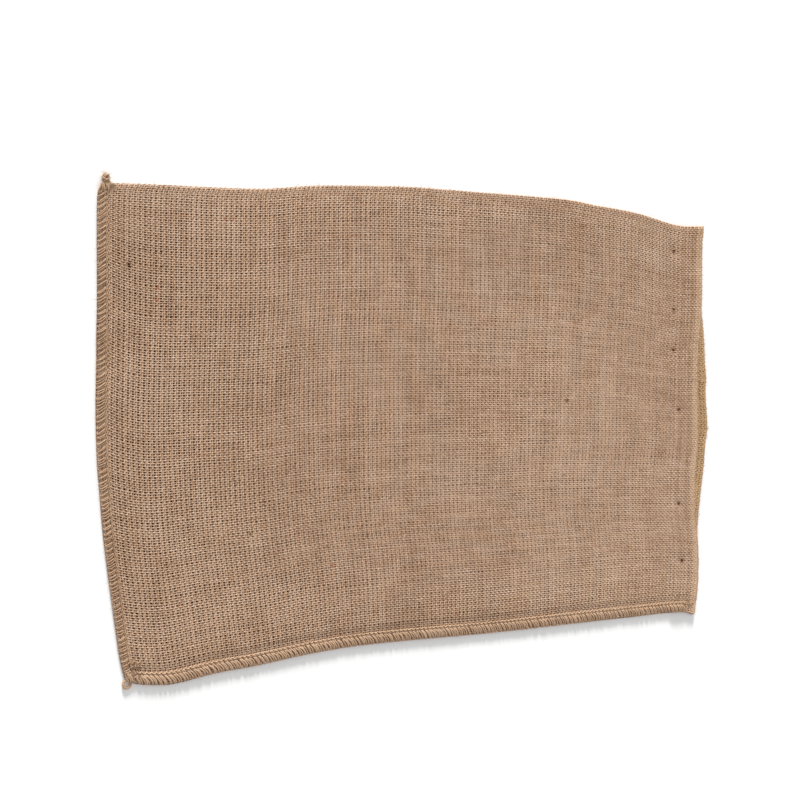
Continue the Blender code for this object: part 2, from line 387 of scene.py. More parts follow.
warp_runs = yarn_places(FIRST_YARN, HEM_END, (PAIR_GAP, BETWEEN_PAIRS), 0.035)
weft_places = yarn_places(FIRST_YARN, CLOTH_WIDTH - FIRST_YARN, (WEFT_GAP,), 0.025)
warps, wefts = len(warp_runs), len(weft_places)
print(f"{warps} warps, {wefts} wefts")

# %% Crossings wander from their places
# columns: spread_mm, reach over the warps, reach over the wefts
RUN_WANDER = ((0.55, 30, 26), (0.13, 0.6, 5))
PLACE_WANDER = ((0.60, 26, 30), (0.20, 5, 0.6))
JITTER = 0.11 * MM

run = np.repeat(warp_runs[:, None], wefts, 1)
place = np.repeat(weft_places[None, :], warps, 0)
for spread, warp_reach, weft_reach in RUN_WANDER:
    run = run + spread * MM * smooth_noise(warps, wefts, warp_reach, weft_reach)
for spread, warp_reach, weft_reach in PLACE_WANDER:
    place = place + spread * MM * smooth_noise(warps, wefts, warp_reach, weft_reach)
run = run + JITTER * rng.normal(size=run.shape)
place = place + JITTER * rng.normal(size=place.shape)
print("crossings:", run.size)

# %% [markdown]
# The needle of the bottom seam has dragged the cloth towards the fold, so the wefts climb steeply
# over the last few centimetres before it. The drag is strongest in the half by the fold.

# %% The drag of the bottom seam
PULL, PULL_REACH = 13 * MM, 30 * MM

across_share = 1 - place / WIDTH
pulled = smoothstep(0.0, 0.14, across_share) * (1 - smoothstep(0.42, 0.98, across_share))
fading = np.exp(-np.maximum(run - BOTTOM_SEAM_WIDTH, 0) / PULL_REACH)
dragged = PULL * pulled * fading * smoothstep(-2 * MM, BOTTOM_SEAM_WIDTH, run)
place = place + dragged
print("dragged by up to, mm:", round(float(dragged.max()) / MM, 1))

# %% Needles and snags have pushed the yarns apart
# columns: run_mm, across, radius_mm
PIN_HOLES = [(1000 * LENGTH - lip, tack_across, 1.2) for tack_across, lip in TACKS]
PIN_HOLES = (*PIN_HOLES, (586, 0.47, 0.8), (33, 0.16, 0.9), (420, 0.30, 0.5), (165, 0.72, 0.5))
PUSH_REACH = 3.4 * MM

for pin_run, pin_across, pin_radius in PIN_HOLES:
    off_run = run - pin_run * MM
    off_place = place - (1 - pin_across) * WIDTH
    away = np.hypot(off_run, off_place) + 0.1 * MM
    push = pin_radius * MM * np.exp(-((away / PUSH_REACH) ** 2)) / away
    run, place = run + off_run * push, place + off_place * push
print(len(PIN_HOLES), "holes")

# %% Crossings in space, and which yarn is on top
EDGE_ROOM = 0.7 * MM  # no crossing comes nearer to the cut edge

run = np.maximum(run, EDGE_ROOM)
place = np.clip(place, EDGE_ROOM, CLOTH_WIDTH - EDGE_ROOM)
on_fold = 1 + (place - WIDTH) / FOLD_ARC
on_back = 2 + (place - WIDTH - FOLD_ARC) / WIDTH
wrap = np.where(place < WIDTH + FOLD_ARC, on_fold, on_back)
wrap = np.clip(np.where(place < WIDTH, place / WIDTH, wrap), 0.001, 2.999)
middle_points, outward = cloth_surface(run, wrap)
crossing = (np.arange(warps)[:, None] + np.arange(wefts)[None, :]).astype(float)
warp_on_top = np.where(crossing % 2 == 0, 1.0, -1.0)
print("highest crossing, mm:", round(float(middle_points[..., 2].max()) / MM, 2))

# %% [markdown]
# ## Yarns as ribbons
#
# A full tube for each of these yarns would need millions of triangles, and most of each tube
# would never be seen. So a yarn is a ribbon with a raised middle, which shades like a round yarn.
# It rises where it passes over another yarn and dips where it passes under.

# %% Cross-sections of a ribbon
# columns: sideways and upwards, as shares of the yarn's half width and thickness
ROUND = ((-1.0, -0.45), (0.0, 1.0), (1.0, -0.45))
FLAT = ((-1.4, 0.2), (1.4, 0.2))


# %% A smooth mesh straight from arrays
def write_mesh(name, points, quads, uvs, values):
    """A smooth mesh of quads. uvs holds maps by name, and values holds a number for each point."""
    mesh = bpy.data.meshes.new(name)
    mesh.vertices.add(len(points))
    mesh.vertices.foreach_set("co", points.astype(np.float32).ravel())
    mesh.loops.add(quads.size)
    mesh.loops.foreach_set("vertex_index", quads.astype(np.int32).ravel())
    mesh.polygons.add(len(quads))
    mesh.polygons.foreach_set("loop_start", np.arange(0, quads.size, 4, dtype=np.int32))
    mesh.update(calc_edges=True)
    mesh.shade_smooth()
    for layer, corners in uvs.items():
        mesh.uv_layers.new(name=layer).data.foreach_set("uv", corners.astype(np.float32).ravel())
    for layer, numbers in values.items():
        attribute = mesh.attributes.new(layer, "FLOAT", "POINT")
        attribute.data.foreach_set("value", numbers.astype(np.float32).ravel())
    piece = bpy.data.objects.new(name, mesh)
    bpy.context.collection.objects.link(piece)
    return piece


# %% Two maps for every ribbon
# The first gives each ribbon a strip of one square. The second is in metres, along and across the
# yarn, and it starts elsewhere on each yarn, so that no two show the same fibres.
NEXT_YARN = 0.173


def ribbon_maps(lines, near, spans):
    """Both maps. near holds the sides of a ribbon, and spans where they lie across its strip."""
    count, length = lines.shape[:2]
    steps = np.linalg.norm(np.diff(lines, axis=1), axis=-1)
    metres = np.concatenate([np.zeros((count, 1)), np.cumsum(steps, axis=1)], 1)
    metres = metres + NEXT_YARN * np.arange(count)[:, None]
    share = np.linspace(0.002, 0.998, length)
    line, point, side = np.meshgrid(np.arange(count), np.arange(length - 1), near, indexing="ij")
    square, real = [], []
    for ahead, beside in ((0, 0), (0, 1), (1, 1), (1, 0)):
        span = spans[side + beside]
        square.append(np.stack([share[point + ahead], (line + span) / count], -1))
        real.append(np.stack([metres[line, point + ahead], (span - 0.5) * 2 * MM], -1))
    return {"OFBake": np.stack(square, -2).reshape(-1, 2), "yarn": np.stack(real, -2).reshape(-1, 2)}


# %% Many ribbons as one mesh
def ribbons(name, lines, facing, half_width, thickness, profile, maps, edge=0.35, closed=False):
    """Yarns that follow lines[k], each raised towards facing[k], as one mesh.

    maps holds shader attributes by name, one number for each point of each line. edge is how much
    more painted shade the sides of a yarn get than its middle.
    """
    count, length = lines.shape[:2]
    tangent = unit(np.gradient(lines, axis=1))
    side = unit(np.cross(tangent, facing))
    up = unit(np.cross(side, tangent))
    around = len(profile)
    points = np.empty((count, length, around, 3))
    for index, (sideways, upwards) in enumerate(profile):
        aside = side * (sideways * half_width)[..., None]
        points[:, :, index] = lines + aside + up * (upwards * thickness)[..., None]
    number = np.arange(count * length * around).reshape(count, length, around)
    near = np.arange(around - 1 + closed)
    far = (near + 1) % around
    low, high = number[:, :-1], number[:, 1:]
    quads = np.stack([low[:, :, near], low[:, :, far], high[:, :, far], high[:, :, near]], -1)
    values = {label: np.repeat(numbers[..., None], around, -1) for label, numbers in maps.items()}
    # Painted shade grows from a yarn's middle towards its sides
    values["deep"] = values["deep"] + edge * np.abs([x for x, _ in profile])
    uvs = ribbon_maps(lines, near, np.linspace(0.08, 0.92, around + closed))
    return write_mesh(name, points.reshape(-1, 3), quads.reshape(-1, 4), uvs, values)


# %% [markdown]
# Jute is spun from long strands that were never sorted well, so thick and thin stretches follow
# each other and neighbouring yarns differ in tone. These maps hold each yarn's width and tone at
# every crossing. The cloth is a little more open by the bottom seam than by the mouth.

# %% Widths of the yarns
WARP_HALF, WEFT_HALF = 0.86 * MM, 0.70 * MM
YARN_RADIUS, CRIMP = 0.42 * MM, 0.33 * MM
THINNEST = 0.6
SPREAD_ON_TOP = 0.06  # a yarn is this much wider where it lies on top

fullness = 0.965 + 0.12 * smoothstep(0.35, 0.95, warp_runs / LENGTH)[:, None]


def yarn_widths(size, by_yarn, by_stretch, warp_reach, weft_reach, thickest):
    """Shares of the usual width, which vary from yarn to yarn and from stretch to stretch."""
    width = 1 + by_yarn * rng.normal(size=size)
    width = width + by_stretch * smooth_noise(warps, wefts, warp_reach, weft_reach)
    return np.clip(width * fullness, THINNEST, thickest)


warp_width = yarn_widths((warps, 1), 0.05, 0.08, 0.5, 3, 1.45)
weft_width = yarn_widths((1, wefts), 0.06, 0.09, 3, 0.5, 1.5)
print("warps from", warp_width.min().round(2), "to", warp_width.max().round(2), "of their width")

# %% Tones of the yarns
shared_tone = 0.2 * smooth_noise(warps, wefts, 30, 30) + 0.25 * smooth_noise(warps, wefts, 3, 3)


def yarn_tones(size, warp_reach, weft_reach):
    """Tones that vary from yarn to yarn, along each yarn and at every crossing."""
    tone = 0.3 * rng.normal(size=size) + 0.35 * smooth_noise(warps, wefts, warp_reach, weft_reach)
    return tone + shared_tone + 0.8 * rng.normal(size=(warps, wefts))


warp_tone = yarn_tones((warps, 1), 0.5, 9)
weft_tone = yarn_tones((1, wefts), 9, 0.5)
print("spread of the tones:", warp_tone.std().round(2), weft_tone.std().round(2))

# %% [markdown]
# The doubled cloth of the hem is pressed flat and is paler at the lip, with painted shade along a
# crease at each of its edges. Around a needle hole the yarns fall away into the dark, and painted
# shade darkens them there.

# %% What the hem and the needle holes change
# columns: from_lip_mm, half_width_mm, strength
HEM_CREASE_SHADES = ((15, 1.8, 1.5), (30, 2.2, 1.1))
PIT_RADIUS, PIT_STRENGTH = 2.6, 7.0

from_lip = (LIP_RUN - run) / MM
hem_tone = 0.35 * (1 - smoothstep(7, 11, np.abs(from_lip)))
# Painted shade along two creases of the hem
for at, reach, strength in HEM_CREASE_SHADES:
    hem_tone = hem_tone - strength * np.exp(-(((from_lip - at) / reach) ** 2))
by_mouth = smoothstep(0.25, 0.8, run / LENGTH)
contrast = 0.35 + 0.8 * by_mouth  # the wefts are the paler yarns, most of all towards the mouth
warp_tone, weft_tone = warp_tone + hem_tone - contrast, weft_tone + hem_tone + contrast
# Painted shade on the yarns round each needle hole
for pin_run, pin_across, pin_radius in PIN_HOLES:
    away = np.hypot(run / MM - pin_run, (place - (1 - pin_across) * WIDTH) / MM)
    pit = PIT_STRENGTH * pin_radius * np.exp(-((away / PIT_RADIUS) ** 2))
    warp_tone, weft_tone = warp_tone - pit, weft_tone - pit
# 1 where the cloth is pressed smooth round the lip, and less on the back panel
smooth_strip = (1 - smoothstep(6, 11, np.abs(from_lip))) * np.where(wrap > 2, 0.35, 1.0)
packed = 1 + 0.25 * smooth_strip + 0.2 * (1 - smoothstep(1, 4, np.abs(from_lip)))
warp_width, weft_width = warp_width * packed, weft_width * packed
print("tones from", warp_tone.min().round(1), "to", weft_tone.max().round(1))

# %% [markdown]
# Here and there a redder yarn was spun into the cloth, and rusty flecks of root are stuck to it.
# Both are numbers on the yarns that the material turns into colour, so they follow each yarn over
# and under. Painted on the whole surface they would run across the holes as well.

# %% Where the odd yarns and the flecks are
# columns: x_mm, y_mm, half_length_mm, strength. A red yarn runs through this point.
RED_WEFTS = (
    (-225, 188, 60, 0.55), (-60, 176, 35, 0.45), (150, -20, 40, 0.3), (-250, -60, 30, 0.3),
)
RED_WARPS = ((-132, -120, 95, 0.5), (-20, 40, 40, 0.3), (-150, 60, 50, 0.3))
# columns: x_mm, y_mm, radius_mm
FLECKS = (
    (-294, 113, 1.8), (-294, 101, 1.4), (-216, 185, 1.5), (-89, -176, 1.7), (60, -95, 1.2),
    (240, 90, 1.2),
)
FLECK_STRENGTH = 1.3
print(len(RED_WEFTS) + len(RED_WARPS), "red yarns,", len(FLECKS), "flecks")

# %% Redden the yarns and the flecks
FAR_MM = 1e3
warp_red, weft_red = np.zeros((warps, wefts)), np.zeros((warps, wefts))
flat = (middle_points[..., :2] - SHIFT) / MM


def distance_from(x, y):
    """Millimetres from this point of the front to every crossing. The back's are far away."""
    return np.hypot(flat[..., 0] - x, flat[..., 1] - y) + FAR_MM * (wrap >= 1)


def patchy(count):
    """A strength from 0 to 1 that comes and goes along a yarn."""
    return smoothstep(-0.5, 0.8, smooth_noise(1, count, 0.1, 4)[0])


for x, y, reach, strength in RED_WEFTS:
    weft = np.unravel_index(distance_from(x, y).argmin(), wrap.shape)[1]
    fade = np.exp(-(((flat[:, weft, 0] - x) / reach) ** 4))
    weft_red[:, weft] += strength * patchy(warps) * fade
for x, y, reach, strength in RED_WARPS:
    warp = np.unravel_index(distance_from(x, y).argmin(), wrap.shape)[0]
    fade = np.exp(-(((flat[warp, :, 1] - y) / reach) ** 4))
    warp_red[warp] += strength * patchy(wefts) * fade
for x, y, radius in FLECKS:
    fleck = FLECK_STRENGTH * np.exp(-((distance_from(x, y) / radius) ** 2))
    warp_red, weft_red = warp_red + fleck, weft_red + fleck
print("reddened crossings:", int((warp_red > 0.1).sum() + (weft_red > 0.1).sum()))


# %% The lines of some warps
def hem_smoothed(deep):
    """Less painted shade between the yarns of the lip, where the cloth is pressed flat and fuzzy."""
    return deep * (1 - 0.5 * smooth_strip) - 0.15 * smooth_strip


def warp_lines(columns, rows):
    """Lines, facing, half width, thickness and shader maps of these warps over these wefts."""
    crop = np.ix_(columns, rows)
    lift = CRIMP * warp_on_top[crop]
    lines = middle_points[crop] + outward[crop] * lift[..., None]
    width = warp_width[crop] * WARP_HALF * (1 + SPREAD_ON_TOP * warp_on_top[crop])
    thickness = YARN_RADIUS * warp_width[crop] ** 0.5
    # Painted shade where the warp dives under a weft, a little less towards the mouth
    deep = hem_smoothed((0.38 - 0.08 * by_mouth) * (1 - warp_on_top))
    maps = {"tone": warp_tone, "red": warp_red, "gold": smooth_strip, "step": crossing, "deep": deep}
    maps = {label: numbers[crop] for label, numbers in maps.items()}
    return lines, outward[crop], width, thickness, maps


# %% The lines of some wefts, which run the other way
def weft_lines(columns, rows):
    crop = np.ix_(columns, rows)
    lift = -CRIMP * warp_on_top[crop]
    lines = middle_points[crop] + outward[crop] * lift[..., None]
    width = weft_width[crop] * WEFT_HALF * (1 - SPREAD_ON_TOP * warp_on_top[crop])
    thickness = YARN_RADIUS * weft_width[crop] ** 0.5
    # Painted shade where the weft dives under a warp
    deep = hem_smoothed(0.2 + 0.2 * warp_on_top)
    maps = {"tone": weft_tone, "red": weft_red, "gold": smooth_strip, "step": 1 + crossing, "deep": deep}
    maps = {label: numbers[crop].T for label, numbers in maps.items()}
    turned = (np.swapaxes(values, 0, 1) for values in (lines, outward[crop], width, thickness))
    return *turned, maps


# %% Lay the yarns of the front, the fold and the back
# Painted shade: how much more a yarn's sides get than its middle, and how much less the flat back gets
WARP_EDGE, WEFT_EDGE = 0.2, 0.6  # how much deeper a yarn's sides look than its middle
FLAT_DEPTH = 0.7  # the flat yarns of the back are less deep
all_warps, all_wefts = np.arange(warps), np.arange(wefts)
front_wefts = all_wefts[weft_places < WIDTH + FOLD_ARC + 1.5 * WEFT_GAP]
back_wefts = all_wefts[len(front_wefts) :]
from_fold = all_wefts[len(front_wefts) - 1 :]  # the back's warps start on the front's last weft
mouth = int(np.searchsorted(warp_runs, LENGTH - HEM_DEPTH - 30 * MM))
half_front, half_rows = warps // 2, len(front_wefts) // 2
cloth_pieces = []


def lay(name, maker, columns, rows, profile):
    lines, facing, width, thickness, maps = maker(columns, rows)
    if profile is FLAT:
        maps["deep"] = maps["deep"] * FLAT_DEPTH
    edge = WARP_EDGE if maker is warp_lines else WEFT_EDGE
    cloth_pieces.append(ribbons(name, lines, facing, width, thickness, profile, maps, edge))


lay("front_warps_a", warp_lines, all_warps[: half_front + 1], front_wefts, ROUND)
lay("front_warps_b", warp_lines, all_warps[half_front + 1 :], front_wefts, ROUND)
lay("front_wefts_a", weft_lines, all_warps, front_wefts[:half_rows], ROUND)
lay("front_wefts_b", weft_lines, all_warps, front_wefts[half_rows:], ROUND)
lay("back_warps", warp_lines, all_warps[:mouth], from_fold, FLAT)
lay("back_wefts", weft_lines, all_warps[:mouth], back_wefts, FLAT)
lay("back_mouth_warps", warp_lines, all_warps[mouth:], from_fold, ROUND)
lay("back_mouth_wefts", weft_lines, all_warps[mouth - 1 :], back_wefts, ROUND)
print({piece.name: len(piece.data.polygons) * 2 for piece in cloth_pieces})

# %% [markdown]
# ## The overlocked seams
#
# A bagging machine closes the sack with two jute threads. One thread wraps over the cut edge
# again and again, and a looper thread ties each of these stitches along the needle line. Every
# stitch looks like a slim leaf, because it is two strands that part and meet again. So each seam
# gets two helical threads that bulge away from each other, and a double chain along the needle
# line. One modelled stitch, repeated, would be simpler, but sewn jute is never that even.

# %% Where a seam's threads lie
# A seam coordinate is (distance along the seam, inward from its edge), in metres.
EDGE_ROUND = 0.5 * MM  # how round a thread goes over the cut edge
BAND_TOP = SEAM_MIDDLE + SEAM_SQUEEZE + CLOTH / 2
HEM_RISE = 0.45  # how much higher the side seam is over the hem


def bottom_seam_place(distance, inward):
    return outer_layer(inward / LENGTH, 1 - distance / WIDTH)[..., :2]


def side_seam_place(distance, inward):
    return outer_layer(distance / LENGTH, inward / WIDTH)[..., :2]


# %% One stitch over the cut edge
# The way of a stitch: 0 to 1 goes over the top, 1 to 2 round the edge, 2 to 3 back underneath.
STITCH_WAY = np.array([0.0, 0.18, 0.42, 0.68, 0.90, 1.25, 1.6, 1.9, 2.35, 2.85])
OVER, ROUNDING, UNDER = (np.clip(STITCH_WAY - start, 0, 1) for start in (0, 1, 2))
ON_EDGE = (STITCH_WAY > 1) & (STITCH_WAY < 2)


def stitch_section(needle, edge, thread):
    """The way of one stitch, seen along the seam: its distance inward and its height."""
    top_z = BAND_TOP + 0.45 * thread - 1.5 * MM * (1 - smoothstep(0.0, 0.22, OVER))
    low_z = thread * 1.06 + 0.6 * MM * smoothstep(0.75, 1.0, UNDER)
    round_z = (top_z + low_z) / 2 + (top_z - low_z) / 2 * np.cos(np.pi * ROUNDING)
    z = np.where(ON_EDGE, round_z, np.where(STITCH_WAY <= 1, top_z, low_z))
    inward = needle + (edge + EDGE_ROUND - needle) * OVER + (needle - edge - EDGE_ROUND) * UNDER
    round_inward = edge + EDGE_ROUND * (1 - np.sin(np.pi * ROUNDING))
    return np.where(ON_EDGE, round_inward, inward), z


# %% The thread that wraps over the edge again and again
def wrap_thread(place, length, width, pitch, lean, bulge, thread, start, closing, bow):
    """One thread that wraps over a seam's edge from end to end, as a line of points."""
    stitches = int((length - abs(lean) - 1 * MM) / pitch)
    begins = start + pitch * np.arange(stitches + 1) + 0.30 * MM * rng.normal(size=stitches + 1)
    leans = lean * (1 + 0.12 * rng.normal(size=stitches + 1))
    inward, height = stitch_section(width - 1.6 * MM, thread * 0.8, thread)
    parted = np.sin(np.pi / 2 * np.minimum(1, OVER * 1.7)) * (1 - closing * smoothstep(0.5, 1, OVER))
    points = []
    for k in range(stitches):
        along = begins[k] + leans[k] * (1 - (1 - OVER) ** bow)
        along = along + bulge * parted * (1 - UNDER) * (0.9 + 0.2 * rng.random())
        along = along + (begins[k + 1] - begins[k] - leans[k]) * UNDER
        points.append(np.stack([along, inward, height + 0.12 * MM * rng.normal()], -1))
    points = np.concatenate(points)
    if place is side_seam_place:
        points[:, 2] *= 1 + HEM_RISE * in_hem(points[:, 0] / LENGTH)
    xy = place(np.clip(points[:, 0], 0, length), points[:, 1])
    return np.concatenate([xy, points[:, 2:]], -1)


# %% The looper thread's chain along the needle line
def chain_thread(place, length, width, pitch, start, swing):
    along = np.arange(start, length - start, pitch / 6)
    phase = 2 * np.pi * (along - start) / pitch
    inward = width - 1.2 * MM + swing * np.cos(phase) + 0.15 * MM * rng.normal(size=len(along))
    z = BAND_TOP - 0.1 * MM + 0.35 * MM * np.sin(phase + 0.7)
    if place is side_seam_place:
        z = z * (1 + HEM_RISE * in_hem(along / LENGTH))
    return np.concatenate([place(along, inward), z[:, None]], -1)


# %% One piece out of several
def join(name, made):
    """One piece out of several, whose bake maps share the square in strips."""
    for index, piece in enumerate(made):
        layer = piece.data.uv_layers["OFBake"].data
        corners = np.empty(len(layer) * 2, np.float32)
        layer.foreach_get("uv", corners)
        corners[1::2] = (corners[1::2] + index) / len(made)
        layer.foreach_set("uv", corners)
    bpy.ops.object.select_all(action="DESELECT")
    for piece in made:
        piece.select_set(True)
    bpy.context.view_layer.objects.active = made[0]
    bpy.ops.object.join()
    made[0].name = made[0].data.name = name
    return made[0]


# %% Threads of different lengths as one piece
TUBE = tuple((math.cos(a), math.sin(a)) for a in np.linspace(0, 2 * np.pi, 6, endpoint=False))


def thread_piece(name, threads):
    """One piece from rows of (line, radius, facing, tone). Each is a round tube with thin ends."""
    made = []
    for index, (line, radius, facing, shade) in enumerate(threads):
        count = len(line)
        from_end = np.minimum(np.arange(count), np.arange(count)[::-1])
        thick = radius * np.minimum(1, 0.25 + from_end / 2)
        thick = thick * np.clip(1 + 0.10 * smooth_noise(1, count, 0.1, 4)[0], 0.75, 1.25)
        tone = 0.35 * smooth_noise(1, count, 0.1, 6)[0] + 0.35 * rng.normal() + shade
        maps = {"tone": tone[None], "deep": np.full((1, count), -0.2)}
        facings = np.broadcast_to(facing, (1, count, 3))
        sizes = (thick[None], thick[None])
        made.append(ribbons(f"{name}_{index}", line[None], facings, *sizes, TUBE, maps, closed=True))
    return join(name, made)


# %% Sew the bottom seam and the side seam
PITCH = 5.6 * MM
CHAIN_RADIUS = 0.72 * MM
SIDE_END = LENGTH - 12 * MM  # the side seam's thread stops a little short of the mouth
x_ahead, y_ahead, z_up = (Vector(axis) for axis in ((1, 0, 0), (0, 1, 0), (0, 0, 1)))
# columns: name, place, length, width, facing, lean_mm, thread_mm, bulge_mm, swing_mm, closing, bow
SEAMS = (
    ("bottom_seam_thread", bottom_seam_place, WIDTH, BOTTOM_SEAM_WIDTH, y_ahead,
     6.0, 0.64, 0.66, 0.45, 0.8, 1.25),
    ("side_seam_thread", side_seam_place, SIDE_END, SIDE_SEAM_WIDTH, x_ahead,
     5.6, 0.9, 1.15, 0.8, 0.55, 1.9),
)
# columns: further inward than the first chain, start, both in mm
CHAINS = ((0.0, 2.0), (0.9, 4.8))
seams = []
for name, place_on, length, width, facing, lean, thread, bulge, swing, closing, bow in SEAMS:
    threads = []
    for way in (1, -1):
        line = wrap_thread(place_on, length, width, PITCH, lean * MM, way * bulge * MM, thread * MM,
                           (1.5 + 0.4 * way) * MM, closing, bow)
        threads.append((line, thread * MM, facing, 0.0))
    for inset, start in CHAINS:
        line = chain_thread(place_on, length, width + inset * MM, PITCH, start * MM, swing * MM)
        threads.append((line, CHAIN_RADIUS, z_up, 0.0))
    seams.append(thread_piece(name, threads))
print({piece.name: len(piece.data.polygons) * 2 for piece in seams})

# %% [markdown]
# ## Knot, loop and loose ends
#
# The bottom seam's thread is knotted off at the fold, and its cut ends have frayed into curls. At
# the other corner the side seam starts with a small loop of thread. Both stay where the solid has
# them. The knot is a trefoil, the simplest closed knot, wound twice: its crossings go over and
# under by a formula, where a knot drawn by hand would need many careful points.

# %% The knot
# Radii of the short threads, in millimetres.
THICK_THREAD, LOOP_END, KNOT_END, TACK_THREAD, TAIL_THREAD = 0.95, 0.72, 0.82, 0.42, 0.5
small = []


def add(line, radius, tone=0.0, facing=z_up):
    """Keep one short thread of this radius in millimetres for the piece of small threads."""
    small.append((line, radius * MM, facing, tone))


def centre_of(name):
    low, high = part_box(name)
    return (np.array(low) + np.array(high)) / 2, np.array(high) - np.array(low)


knot_centre, knot_size = centre_of("corner_knot")
turn = np.linspace(0, 2 * np.pi, 72)
knot_x = np.sin(turn) + 2 * np.sin(2 * turn)
knot_y = np.cos(turn) - 2 * np.cos(2 * turn)
trefoil = np.stack([knot_x, knot_y, -np.sin(3 * turn)], -1)
knot_reach = knot_size / 2 - (1.0 * MM, 1.0 * MM, 0.9 * MM)
for tilt, grow in ((0.3, 1.0), (1.5, 0.82)):
    spun = trefoil @ np.array(Matrix.Rotation(tilt, 3, "Z")).T
    line = knot_centre + spun / (3, 3, 1) * knot_reach * grow
    add(line, THICK_THREAD, facing=Vector((0.31, 0.17, 0.93)))
print("knot, mm:", (knot_size / MM).round(1))

# %% The loop, whose ends run up into the corner of the seams
loop_centre, loop_size = centre_of("corner_loop")
loop_centre = loop_centre + (2.6 * MM, 2.0 * MM, 0)  # it leans on the corner that it is sewn to
ring = np.linspace(0.6, 2 * np.pi * 1.04 + 0.6, 40)
for shift, grow in ((0.0, 1.0), (0.8, 0.86)):
    circle = np.stack([np.cos(ring) * grow, np.sin(ring) * grow, 0.25 * np.sin(ring * 2 + shift)], -1)
    add(loop_centre + circle * (loop_size / 2 - (0.9 * MM, 0.9 * MM, 0.8 * MM)), THICK_THREAD)

corner = front_place(np.array([0.012]), np.array([0.985]))[0] + SHIFT
share = np.linspace(0, 1, 14)[:, None]
hump = np.sin(np.pi * share[:, 0])
for aside in (-1.2, 1.3):
    start = loop_centre + (aside * MM, 3.0 * MM, 0)
    line = start + (np.array([corner[0] + aside * MM, corner[1] + 2 * MM, 3.8 * MM]) - start) * share
    line[:, 2] += 0.6 * MM * hump
    add(line, LOOP_END)
print("loop, mm:", (loop_size / MM).round(1))

# %% The tangle of short ends where the two seams meet
TANGLE = 22
for _ in range(TANGLE):
    begin_x, begin_y = corner[0] + rng.uniform(-3, 5) * MM, corner[1] + rng.uniform(-3, 16) * MM
    aim = rng.uniform(0, 2 * np.pi)
    angle = aim + np.linspace(0, rng.uniform(1.5, 4.0), 14)
    reach = rng.uniform(1.5, 3.2) * MM
    arc_x, arc_y = reach * (np.cos(angle) - math.cos(aim)), reach * (np.sin(angle) - math.sin(aim))
    line = np.stack([begin_x + arc_x, begin_y + arc_y, 3.6 * MM + 1.1 * MM * hump], -1)
    add(line, rng.uniform(0.35, 0.6), rng.uniform(-4.0, 0.5))
print(TANGLE, "short ends at the corner")

# %% The knot's threads run down into the bottom seam
# columns: start_x_mm, end_x_mm, end_y_mm
KNOT_THREADS = (
    (-3.2, -8.2, -15), (-2.8, -6.4, -12), (-2.4, -4.4, -15), (-1.6, -2.4, -17), (-0.8, 0.0, -14),
    (0.0, 2.2, -16), (0.8, 3.4, -13), (1.4, 5.0, -11), (2.0, 6.6, -9.5), (2.4, 8.2, -8.2),
    (1.8, 4.2, -15), (2.6, 10.0, -7.4),
)
for start_x, end_x, end_y in KNOT_THREADS:
    start = knot_centre + (start_x * MM, -2.0 * MM, 0.2 * MM)
    end = np.array([knot_centre[0] + end_x * MM, knot_centre[1] + end_y * MM, 2.3 * MM])
    line = start + (end - start) * share
    line[:, :2] += 0.7 * MM * np.sin(3 * share + (start_x, end_x)) * np.sin(np.pi * share)
    line[:, 2] += 1.5 * MM * np.sin(np.pi * share[:, 0] ** 1.4)
    add(line, KNOT_END)
print(len(KNOT_THREADS), "threads from the knot")

# %% [markdown]
# Six hand-sewn tacks hold the hem. Of each, one short slanting stitch lies on the front and dives
# into the cloth at both ends. The side seam's thread ends near the mouth in a loose tail.

# %% Hem tacks
TACK_HALF = 3.4 * MM
for tack_across, lip in TACKS:
    slant = rng.uniform(0.35, 0.75) * rng.choice((-1, 1))
    steps = np.linspace(-TACK_HALF, TACK_HALF, 12)
    tack_run = LENGTH - lip * MM + steps * math.cos(slant)
    beside = rng.choice((-2.6, 2.6)) * MM
    tack_place = (1 - tack_across) * WIDTH + steps * math.sin(slant) + beside
    raised = 1.25 * MM * (1 - (np.abs(steps) / TACK_HALF) ** 3) - 0.25 * MM
    add(cloth_surface(tack_run, tack_place / WIDTH, raised)[0], TACK_THREAD)
print(len(TACKS), "stitches")

# %% The tail of the side seam's thread
tail = np.linspace(0, 1, 26)
tail_run = SIDE_END - 3 * MM + 8 * MM * tail + 1.6 * MM * np.sin(9 * tail)
tail_place = SIDE_SEAM_WIDTH - 1.5 * MM + 4.5 * MM * tail**1.5 + 1.3 * MM * np.cos(8 * tail)
tail_height = 1.3 * MM + 0.5 * MM * np.sin(12 * tail)
add(cloth_surface(tail_run, tail_place / WIDTH, tail_height)[0], TAIL_THREAD)
knots = thread_piece("knot_and_loop", small)
print(len(small), "short threads")

# %% [markdown]
# ## Loose fibres
#
# Jute sheds. Fine hairs stand out of the yarns everywhere, they soften every edge, and at the
# knot and the mouth they curl. Each is one thin flat ribbon that leaves the cloth, arches and
# comes down again. A hair system could grow them too, but plain ribbons stay meshes anywhere.

# %% One curved hair from each starting point
HAIR_STEPS = 6


def hairs(starts, headings, lengths, lifts, curls):
    """Lines that leave the cloth, turn by curls on the way, and come down again."""
    share = np.linspace(0, 1, HAIR_STEPS)[None, :]
    turned = headings[:, None] + curls[:, None] * share
    step = lengths[:, None] / (HAIR_STEPS - 1)
    x = np.cumsum(np.cos(turned) * step, axis=1) - np.cos(turned[:, :1]) * step
    y = np.cumsum(np.sin(turned) * step, axis=1) - np.sin(turned[:, :1]) * step
    z = lifts[:, None] * np.sin(np.pi * share * 0.85)
    return starts[:, None, :] + np.stack([x, y, z], -1)


# %% Where the hairs start, over the cloth and along its edges
OPEN_HAIRS, EDGE_HAIRS, FOLD_HAIRS = 2600, 420, 110
BACK_LIP_RUN = LENGTH + 1 * MM
